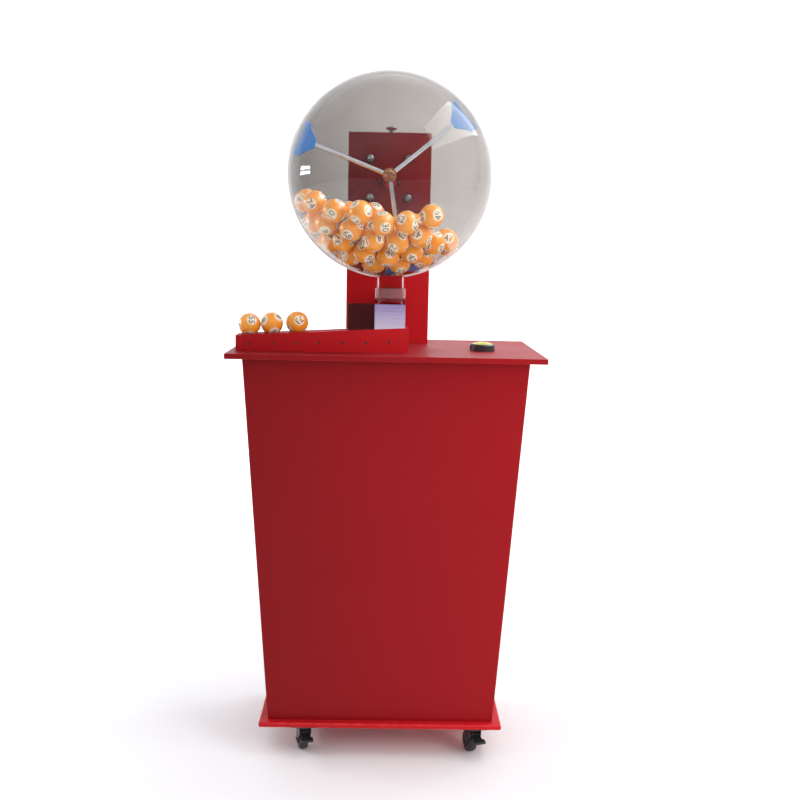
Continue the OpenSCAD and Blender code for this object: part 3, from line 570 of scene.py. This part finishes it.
# ---- column -----------------------------------------------------------------
# The column holds the gear motor on a steel plate behind the globe, and the
# mixer's shaft runs in a red bearing on its front. A turned knob releases its lid.
chrome = metal("chrome", (0.80, 0.83, 0.88), (0.68, 0.71, 0.76), 0.12, 0.002, depth=0.00001)
knob_low, knob_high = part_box("top_knob")
knob_foot = Vector(((knob_low.x + knob_high.x) / 2, (knob_low.y + knob_high.y) / 2, knob_low.z))
knob_profile = [(0, 0), (0.009, 0), (0.009, 0.0022), (0.0072, 0.0038), (0.006, 0.0055), (0.0065, 0.0078),
                (0.0115, 0.0094), (0.0138, 0.0108), (0.014, 0.0135), (0.0128, 0.0155), (0.009, 0.0167),
                (0, 0.017)]
turned("lid_knob", knob_profile, knob_foot, (0, 0, 1), "cabinet", chrome, "top_knob", flat=60)
dressed("motor_plate", steel)
cast_aluminium = metal("cast_aluminium", (0.48, 0.49, 0.50), (0.33, 0.34, 0.36), 0.45, 0.0009, depth=0.0001)
dressed("gear_motor", cast_aluminium)
dressed("shaft_bearing", red_paint)
bearing_low, bearing_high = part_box("shaft_bearing")
flange, flange_end, screw_sink, bearing_screw = 0.004, 0.008, 0.0016, 0.0038
screws("bearing_screws", "cabinet",
       [(x, bearing_high.y - flange + screw_sink, (bearing_low.z + bearing_high.z) / 2)
        for x in (bearing_low.x + flange_end, bearing_high.x - flange_end)],
       (0, -1, 0), bearing_screw, spins=(0.4, 1.1))

# ---- globe ------------------------------------------------------------------
# Two blown acrylic half globes, the rear one tinted dark as painted shade on
# what lies behind it, darker still towards the left, cemented at their rims and
# bolted to the column through four black spacers. The cement dries milky.


def acrylic(name, clear, clouded, roughness, bending=1.3, rim=None, left_shade=None, cast=1.0):
    """Polished sheet or blown acrylic with faint smears and hairline scratches.

    A darker colour given for the globe's left is painted shade there, and cast
    the share of light that goes through. Near a rim at the given depth the wall
    turns milky.
    """
    made = finish(name, roughness, Transmission_Weight=cast, IOR=bending, Specular_Tint=(0.9, 0.9, 0.92, 1))
    tree = made.node_tree
    colour = mixed(tree, between(tree, cloud(tree, 0.09, 2.0), 0.0, 1.0), clear, clouded)
    # Painted shade: the colour darkens towards the globe's left.
    if left_shade is not None:
        colour = mixed(tree, ranged(tree, along(tree, "X"), -globe_radius, globe_radius), left_shade, colour)
    if rim is not None:
        away = add(tree, "ShaderNodeMath", {0: along(tree, "Y"), 1: rim}, operation="SUBTRACT").outputs[0]
        away = add(tree, "ShaderNodeMath", {0: away}, operation="ABSOLUTE").outputs[0]
        colour = mixed(tree, ranged(tree, away, 0.005, 0.012, 1.0, 0.0), colour, (0.80, 0.74, 0.73))
        shader = tree.nodes["Principled BSDF"]
        tree.links.new(ranged(tree, away, 0.03, 0.09, 1.03, bending), shader.inputs["IOR"])
        tree.links.new(ranged(tree, away, 0.0015, 0.0035, 0.25, cast), shader.inputs["Transmission Weight"])
    smears = between(tree, cloud(tree, 0.05, 4.0, (1, 1, 0.4)), roughness, roughness + 0.03)
    return surface(made, colour, smears, cloud(tree, 0.03, 1.0), 0.00004)


clear_acrylic = acrylic("clear_acrylic", (0.90, 0.885, 0.87), (0.86, 0.845, 0.83), 0.01, rim=globe_centre.y)
# The rear half's dark tint is painted shade on what is seen behind the globe, with a still darker colour
# towards its left.
rear_shade_acrylic = acrylic("rear_shade_acrylic", (0.44, 0.41, 0.385), (0.40, 0.37, 0.345), 0.015,
                         rim=globe_centre.y, left_shade=(0.15, 0.14, 0.132))
wall = 0.004


def blown(node, made_of):
    """A copy of a half globe whose curved faces shade as true spheres, and which casts no shadow."""
    work = bmesh.new()
    work.from_mesh(frame["nodes"][node].data)
    bmesh.ops.remove_doubles(work, verts=work.verts, dist=0.00001)
    piece = placed(node + "_blown", work, "cabinet", made_of, node)
    normals = []
    for face in piece.data.polygons:
        out = face.center - globe_centre
        facing = face.normal.dot(out.normalized())
        off_sphere = min(abs(out.length - globe_radius), abs(out.length - globe_radius + wall))
        curved = abs(facing) > 0.95 and off_sphere < 0.001
        for corner in face.vertices:
            away = (piece.data.vertices[corner].co - globe_centre).normalized()
            normals.append(away * (1 if facing > 0 else -1) if curved else face.normal.copy())
    piece.data.normals_split_custom_set(normals)
    piece.visible_shadow = piece.visible_diffuse = False


blown("globe_front", clear_acrylic)
blown("globe_rear", rear_shade_acrylic)
dressed("globe_spacers", black_plastic)
dark_zinc = metal("dark_zinc", (0.40, 0.40, 0.41), (0.26, 0.26, 0.27), 0.38, 0.0012)
dressed("globe_bolts", dark_zinc)

# ---- mixer ------------------------------------------------------------------
# A chromed shaft carries a bronze hub with three chromed arms, each ending in
# a blue plastic paddle whose web is clamped round the arm.
dressed("mixer_shaft", chrome)
dressed("mixer_arms", chrome)
bronze = metal("bronze", (0.50, 0.24, 0.13), (0.32, 0.15, 0.08), 0.28, 0.001)
eased("mixer_hub", "mixer", bronze, 0.0008, 2)


def moulded(name, shade, deep, roughness, grain=0.0012, depth=0.00003, **constants):
    """Moulded plastic: slightly cloudy colour, uneven gloss and a fine skin."""
    made = finish(name, roughness, **constants)
    tree = made.node_tree
    colour = mixed(tree, between(tree, cloud(tree, 0.03, 4.0), 0.0, 1.0), shade, deep)
    gloss = between(tree, cloud(tree, 0.012, 3.0), roughness * 0.8, roughness * 1.4)
    return surface(made, colour, gloss, cloud(tree, grain, 2.0), depth)


blue_plastic = moulded("blue_plastic", (0.010, 0.20, 0.58), (0.007, 0.16, 0.48), 0.35)
eased("mixer_paddles", "mixer", blue_plastic, 0.0012)

# ---- outlet -----------------------------------------------------------------
# A clear neck tube in a milky collar leads down through the gate, where a
# steel blade on an actuator's rod lets one ball through.
thin_acrylic = acrylic("thin_acrylic", (0.90, 0.76, 0.75), (0.82, 0.66, 0.65), 0.03, bending=1.12)
dressed("neck_tube", thin_acrylic)
milky_acrylic = acrylic("milky_acrylic", (0.82, 0.48, 0.50), (0.74, 0.38, 0.40), 0.12, cast=0.82)
eased("neck_collar", "cabinet", milky_acrylic, 0.0008)
rosy_acrylic = acrylic("rosy_acrylic", (0.80, 0.36, 0.40), (0.70, 0.28, 0.32), 0.2, bending=1.2)
eased("gate_housing", "cabinet", rosy_acrylic, 0.0008)
dressed("gate_blade", steel)
dressed("gate_actuator", red_paint)

# ---- exit box ---------------------------------------------------------------
# Acrylic plates round the drop: a frosted front window, a smoked side guard and
# a clear lid, against a painted back board. The window's lightening towards its
# foot is a painted reflection, and the guard's dark tint is painted shade.
frosted_acrylic = finish("frosted_acrylic", 0.12, Transmission_Weight=0.25, IOR=1.3)
frost_tree = frosted_acrylic.node_tree
window_low, window_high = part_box("exit_window")
# Painted reflection: the colour grows lighter towards the bottom of the window, as a bright window reflected
# in it; the stretched streaks are frosting in the sheet.
painted_reflection_ramp = ranged(frost_tree, along(frost_tree, "Z"), window_low.z, window_high.z, 1.0, 0.0)
frost_streaks = between(frost_tree, cloud(frost_tree, 0.02, 3.0, (0.25, 1, 4)), -0.12, 0.16)
reflection_and_streaks = add(frost_tree, "ShaderNodeMath", {0: painted_reflection_ramp, 1: frost_streaks},
                  operation="ADD", use_clamp=True).outputs[0]
surface(frosted_acrylic, mixed(frost_tree, reflection_and_streaks, (0.34, 0.28, 0.58), (0.78, 0.70, 0.88)),
        between(frost_tree, cloud(frost_tree, 0.01), 0.08, 0.2), cloud(frost_tree, 0.002), 0.00003)
# The guard's dark smoke tint is painted shade on the column seen through it.
smoked_acrylic = acrylic("smoked_acrylic", (0.42, 0.36, 0.32), (0.36, 0.30, 0.27), 0.02)
eased("exit_window", "cabinet", frosted_acrylic, 0.0006, 2)
eased("exit_guard", "cabinet", smoked_acrylic, 0.0006, 2)
eased("exit_top", "cabinet", clear_acrylic, 0.0006, 2)
eased("exit_end", "cabinet", clear_acrylic, 0.0006, 2)
eased("exit_back", "cabinet", red_paint, 0.001, 2)

# ---- ramp -------------------------------------------------------------------
# Painted boards with a routed groove that the balls roll down, and seven dark
# studs in recesses along the front board.
# The ramp boards and bed take the lighter copy of the paint, as painted light.
for board in ("ramp_front_board", "ramp_back_board", "ramp_end_stop"):
    eased(board, "cabinet", lighter_lit_paint, 0.001, 2)
dressed("ramp_bed", lighter_lit_paint)
dressed("ramp_studs", black_plastic)

# ---- numbered balls ---------------------------------------------------------
# Hollow moulded balls. Each carries its own number six times, printed in black
# on white discs that face six ways.


def ball_places(node):
    """The centre of every separate ball in a CAD node, and the balls' radius."""
    work = bmesh.new()
    work.from_mesh(frame["nodes"][node].data)
    bmesh.ops.remove_doubles(work, verts=work.verts, dist=0.00001)
    centres, left = [], set(work.verts)
    while left:
        ball, edge_of_ball = set(), [left.pop()]
        while edge_of_ball:
            corner = edge_of_ball.pop()
            ball.add(corner)
            for edge in corner.link_edges:
                other = edge.other_vert(corner)
                if other in left:
                    left.remove(other)
                    edge_of_ball.append(other)
        corner_low = [min(v.co[axis] for v in ball) for axis in range(3)]
        corner_high = [max(v.co[axis] for v in ball) for axis in range(3)]
        centres.append((Vector(corner_low) + Vector(corner_high)) / 2)
        radius = (corner_high[2] - corner_low[2]) / 2
    work.free()
    return sorted(centres, key=lambda c: (round(c.x, 4), round(c.z, 4), round(c.y, 4))), radius


def number_outlines(number, tall):
    """The outlines of a number in the plain default letter, centred on the origin."""
    words = bpy.data.curves.new("number", "FONT")
    words.body = str(number)
    words.align_x = "CENTER"
    words.align_y = "CENTER"
    words.size = tall * 1.45
    words.offset = tall * 0.05
    words.resolution_u = 2
    words.fill_mode = "NONE"
    holder = bpy.data.objects.new("number", words)
    scene.collection.objects.link(holder)
    bpy.context.view_layer.update()
    mesh = bpy.data.meshes.new_from_object(holder.evaluated_get(bpy.context.evaluated_depsgraph_get()))
    bpy.data.objects.remove(holder)
    work = bmesh.new()
    work.from_mesh(mesh)
    bmesh.ops.remove_doubles(work, verts=work.verts, dist=tall * 0.01)
    outlines, left = [], set(work.verts)
    while left:
        corner = min(left, key=lambda v: v.index)
        loop = []
        while corner is not None:
            left.discard(corner)
            loop.append((corner.co.x, corner.co.y))
            ahead = [e.other_vert(corner) for e in corner.link_edges if e.other_vert(corner) in left]
            corner = ahead[0] if ahead else None
        if len(loop) > 2:
            outlines.append(loop)
    work.free()
    bpy.data.meshes.remove(mesh)
    across = [p[0] for outline in outlines for p in outline]
    up = [p[1] for outline in outlines for p in outline]
    middle = (min(across) + max(across)) / 2, (min(up) + max(up)) / 2
    return [[(p[0] - middle[0], p[1] - middle[1]) for p in outline] for outline in outlines]


def printed_disc(number, ball_radius):
    """A white disc wrapped on a ball's skin, with the number's faces marked as ink."""
    disc_radius, tall, film, sides = ball_radius * 0.48, ball_radius * 0.56, ball_radius * 0.01, 24
    spots, faces, ink = flat_mesh(number_outlines(number, tall), disc_radius, sides)
    corners = []
    for lift in (film, -film):
        for p in spots:
            away = p.length / ball_radius
            out = Vector((p.x, p.y, 0)).normalized() * math.sin(away) if p.length else Vector((0, 0, 0))
            corners.append((out + Vector((0, 0, math.cos(away)))) * (ball_radius + lift))
    skirt = [((k + 1) % sides, k, k + len(spots), (k + 1) % sides + len(spots)) for k in range(sides)]
    mesh = bpy.data.meshes.new(f"disc_{number:02d}")
    mesh.from_pydata(corners, [], [*faces, *skirt])
    mark = mesh.attributes.new("ink", "BOOLEAN", "FACE")
    for place, black in zip(mark.data, [*ink, *([False] * len(skirt))]):
        place.value = black
    return mesh


ball_plastic = moulded("ball_plastic", (0.92, 0.36, 0.035), (0.86, 0.29, 0.022), 0.25, grain=0.004)
print_white = moulded("print_white", (0.88, 0.76, 0.58), (0.82, 0.68, 0.50), 0.3)
print_black = moulded("print_black", (0.01, 0.01, 0.014), (0.03, 0.03, 0.035), 0.35)

balls_tree, balls_in, balls_out = new_tree(
    "moulded_balls", ("Radius", "NodeSocketFloat"), ("Finish", "NodeSocketMaterial"))
one_ball = add(balls_tree, "GeometryNodeMeshUVSphere", {
    "Segments": 40, "Rings": 20, "Radius": balls_in.outputs["Radius"]})
ball_copies = add(balls_tree, "GeometryNodeInstanceOnPoints", {
    "Points": balls_in.outputs["Geometry"], "Instance": one_ball.outputs["Mesh"]})
ball_solid = add(balls_tree, "GeometryNodeRealizeInstances", {"Geometry": ball_copies.outputs["Instances"]})
ball_dressed = add(balls_tree, "GeometryNodeSetMaterial", {
    "Geometry": ball_solid.outputs["Geometry"], "Material": balls_in.outputs["Finish"]})
balls_tree.links.new(ball_dressed.outputs["Geometry"], balls_out.inputs["Geometry"])

prints_tree, prints_in, prints_out = new_tree(
    "printed_discs", ("Discs", "NodeSocketCollection"), ("Paper", "NodeSocketMaterial"),
    ("Ink", "NodeSocketMaterial"))
all_discs = add(prints_tree, "GeometryNodeCollectionInfo", {
    "Collection": prints_in.outputs["Discs"], "Separate Children": True, "Reset Children": True})
disc_turn = add(prints_tree, "GeometryNodeInputNamedAttribute", {"Name": "turn"}, data_type="FLOAT_VECTOR")
disc_pick = add(prints_tree, "GeometryNodeInputNamedAttribute", {"Name": "ball"}, data_type="INT")
disc_copies = add(prints_tree, "GeometryNodeInstanceOnPoints", {
    "Points": prints_in.outputs["Geometry"], "Instance": all_discs.outputs["Instances"],
    "Pick Instance": True, "Instance Index": disc_pick.outputs["Attribute"],
    "Rotation": disc_turn.outputs["Attribute"]})
disc_solid = add(prints_tree, "GeometryNodeRealizeInstances", {"Geometry": disc_copies.outputs["Instances"]})
disc_white = add(prints_tree, "GeometryNodeSetMaterial", {
    "Geometry": disc_solid.outputs["Geometry"], "Material": prints_in.outputs["Paper"]})
disc_ink = add(prints_tree, "GeometryNodeInputNamedAttribute", {"Name": "ink"}, data_type="BOOLEAN")
disc_black = add(prints_tree, "GeometryNodeSetMaterial", {
    "Geometry": disc_white.outputs["Geometry"], "Selection": disc_ink.outputs["Attribute"],
    "Material": prints_in.outputs["Ink"]})
prints_tree.links.new(disc_black.outputs["Geometry"], prints_out.inputs["Geometry"])

drawn_centres, ball_radius = ball_places("drawn_balls")
globe_centres = ball_places("globe_balls")[0]
numbers = hand.sample(range(1, 76), len(drawn_centres) + len(globe_centres))
six_ways = [Vector(v).to_track_quat("Z", "Y") for v in
            ((1, 0, 0), (-1, 0, 0), (0, 1, 0), (0, -1, 0), (0, 0, 1), (0, 0, -1))]
for heap, centres in (("drawn_balls", drawn_centres), ("globe_balls", globe_centres)):
    grown(heap + "_moulded", marked(centres, [(0, 0, 0)] * len(centres)), balls_tree, "cabinet",
          {"Radius": ball_radius, "Finish": ball_plastic}, heap, flat=180, finish_slot="ball_plastic")
    prints = bpy.data.collections.new(heap + "_discs")
    spots, turns, owners = [], [], []
    for order, centre in enumerate(centres):
        disc = printed_disc(numbers.pop(0), ball_radius)
        prints.objects.link(bpy.data.objects.new(f"disc_{order:03d}", disc))
        rolled = Euler([hand.uniform(0, 2 * math.pi) for _ in range(3)]).to_quaternion()
        for way in six_ways:
            spots.append(centre)
            turns.append((rolled @ way).to_euler())
            owners.append(order)
    grown(heap + "_numbers", marked(spots, turns, {"ball": owners}), prints_tree, "cabinet",
          {"Discs": prints, "Paper": print_white, "Ink": print_black}, flat=60, finish_slot="ball_plastic")
    for disc in list(prints.objects):
        bpy.data.objects.remove(disc)
    bpy.data.collections.remove(prints)

# ---- push button ------------------------------------------------------------
# A black round housing on the table with a domed yellow cap, which presses a
# switch under the table top.
eased("button_base", "cabinet", black_plastic, 0.0008, 2)
yellow_plastic = moulded("yellow_plastic", (0.62, 0.60, 0.03), (0.52, 0.52, 0.03), 0.18)
dressed("button_cap", yellow_plastic)
dressed("button_switch", black_plastic)

# ---- power unit and cable entry ---------------------------------------------
# A folded steel box on the base board, and a moulded gland in the rear panel.
dressed("power_unit", cast_aluminium)
dressed("cable_gland", black_plastic)

# ---- casters ----------------------------------------------------------------
# Black pressed forks on screwed plates, with black rubber wheels. The front
# two have a brake pedal.
wheel_rubber = moulded(
    "wheel_rubber", (0.016, 0.016, 0.018), (0.03, 0.03, 0.032), 0.42, grain=0.0008, depth=0.00008)
gloss_black = moulded(
    "gloss_black", (0.010, 0.010, 0.012), (0.022, 0.022, 0.025), 0.2, grain=0.002, depth=0.00002)
eased("caster_plates", "cabinet", gloss_black, 0.0005, 2)
plate_thickness, plate_across, plate_along, plate_screw = 0.003, 0.024, 0.019, 0.0036
plate_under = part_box("caster_plates")[1].z - plate_thickness
plate_screws = []
for corner in ("fl", "fr", "rl", "rr"):
    kingpin = Vector(joints["swivel_" + corner]["pos_m"])
    plate_screws += [(kingpin.x + x, kingpin.y + y, plate_under)
                     for x in (-plate_across, plate_across) for y in (-plate_along, plate_along)]
    eased("caster_fork_" + corner, "swivel_" + corner, gloss_black, 0.0006, 2)
    spin = joints[f"wheel_{corner}_spin"]
    axle, axle_way = Vector(spin["pos_m"]), Vector(spin["axis"])
    wheel = frame["nodes"]["caster_wheel_" + corner].data.vertices
    across = [(v.co - axle).dot(axle_way) for v in wheel]
    wheel_radius = max((v.co - axle - axle_way * t).length for v, t in zip(wheel, across))
    half = max(across)
    tread = [(0.68, -0.97), (0.84, -1.0), (0.91, -0.92), (0.965, -0.68), (0.99, -0.36), (1.0, 0.0)]
    tread += [(radius, -height) for radius, height in reversed(tread[:-1])]
    turned("tyre_" + corner, [(radius * wheel_radius, height * half) for radius, height in tread],
           axle, axle_way, "wheel_" + corner, wheel_rubber, "caster_wheel_" + corner,
           sides=72, closed=True, flat=60)
    disc = [(0.128, -1.08), (0.27, -1.08), (0.33, -0.98), (0.38, -0.74), (0.46, -0.66), (0.56, -0.72),
            (0.63, -0.88), (0.675, -0.95)]
    disc += [(radius, -height) for radius, height in reversed(disc)]
    turned("wheel_disc_" + corner, [(radius * wheel_radius, height * half) for radius, height in disc],
           axle, axle_way, "wheel_" + corner, gloss_black, sides=72, closed=True, flat=40)
screws("caster_screws", "cabinet", plate_screws, (0, 0, -1), plate_screw)
for corner in ("fl", "fr"):
    eased("caster_brake_" + corner, "brake_" + corner, gloss_black, 0.0005, 2)

bpy.data.objects.remove(pan_head)
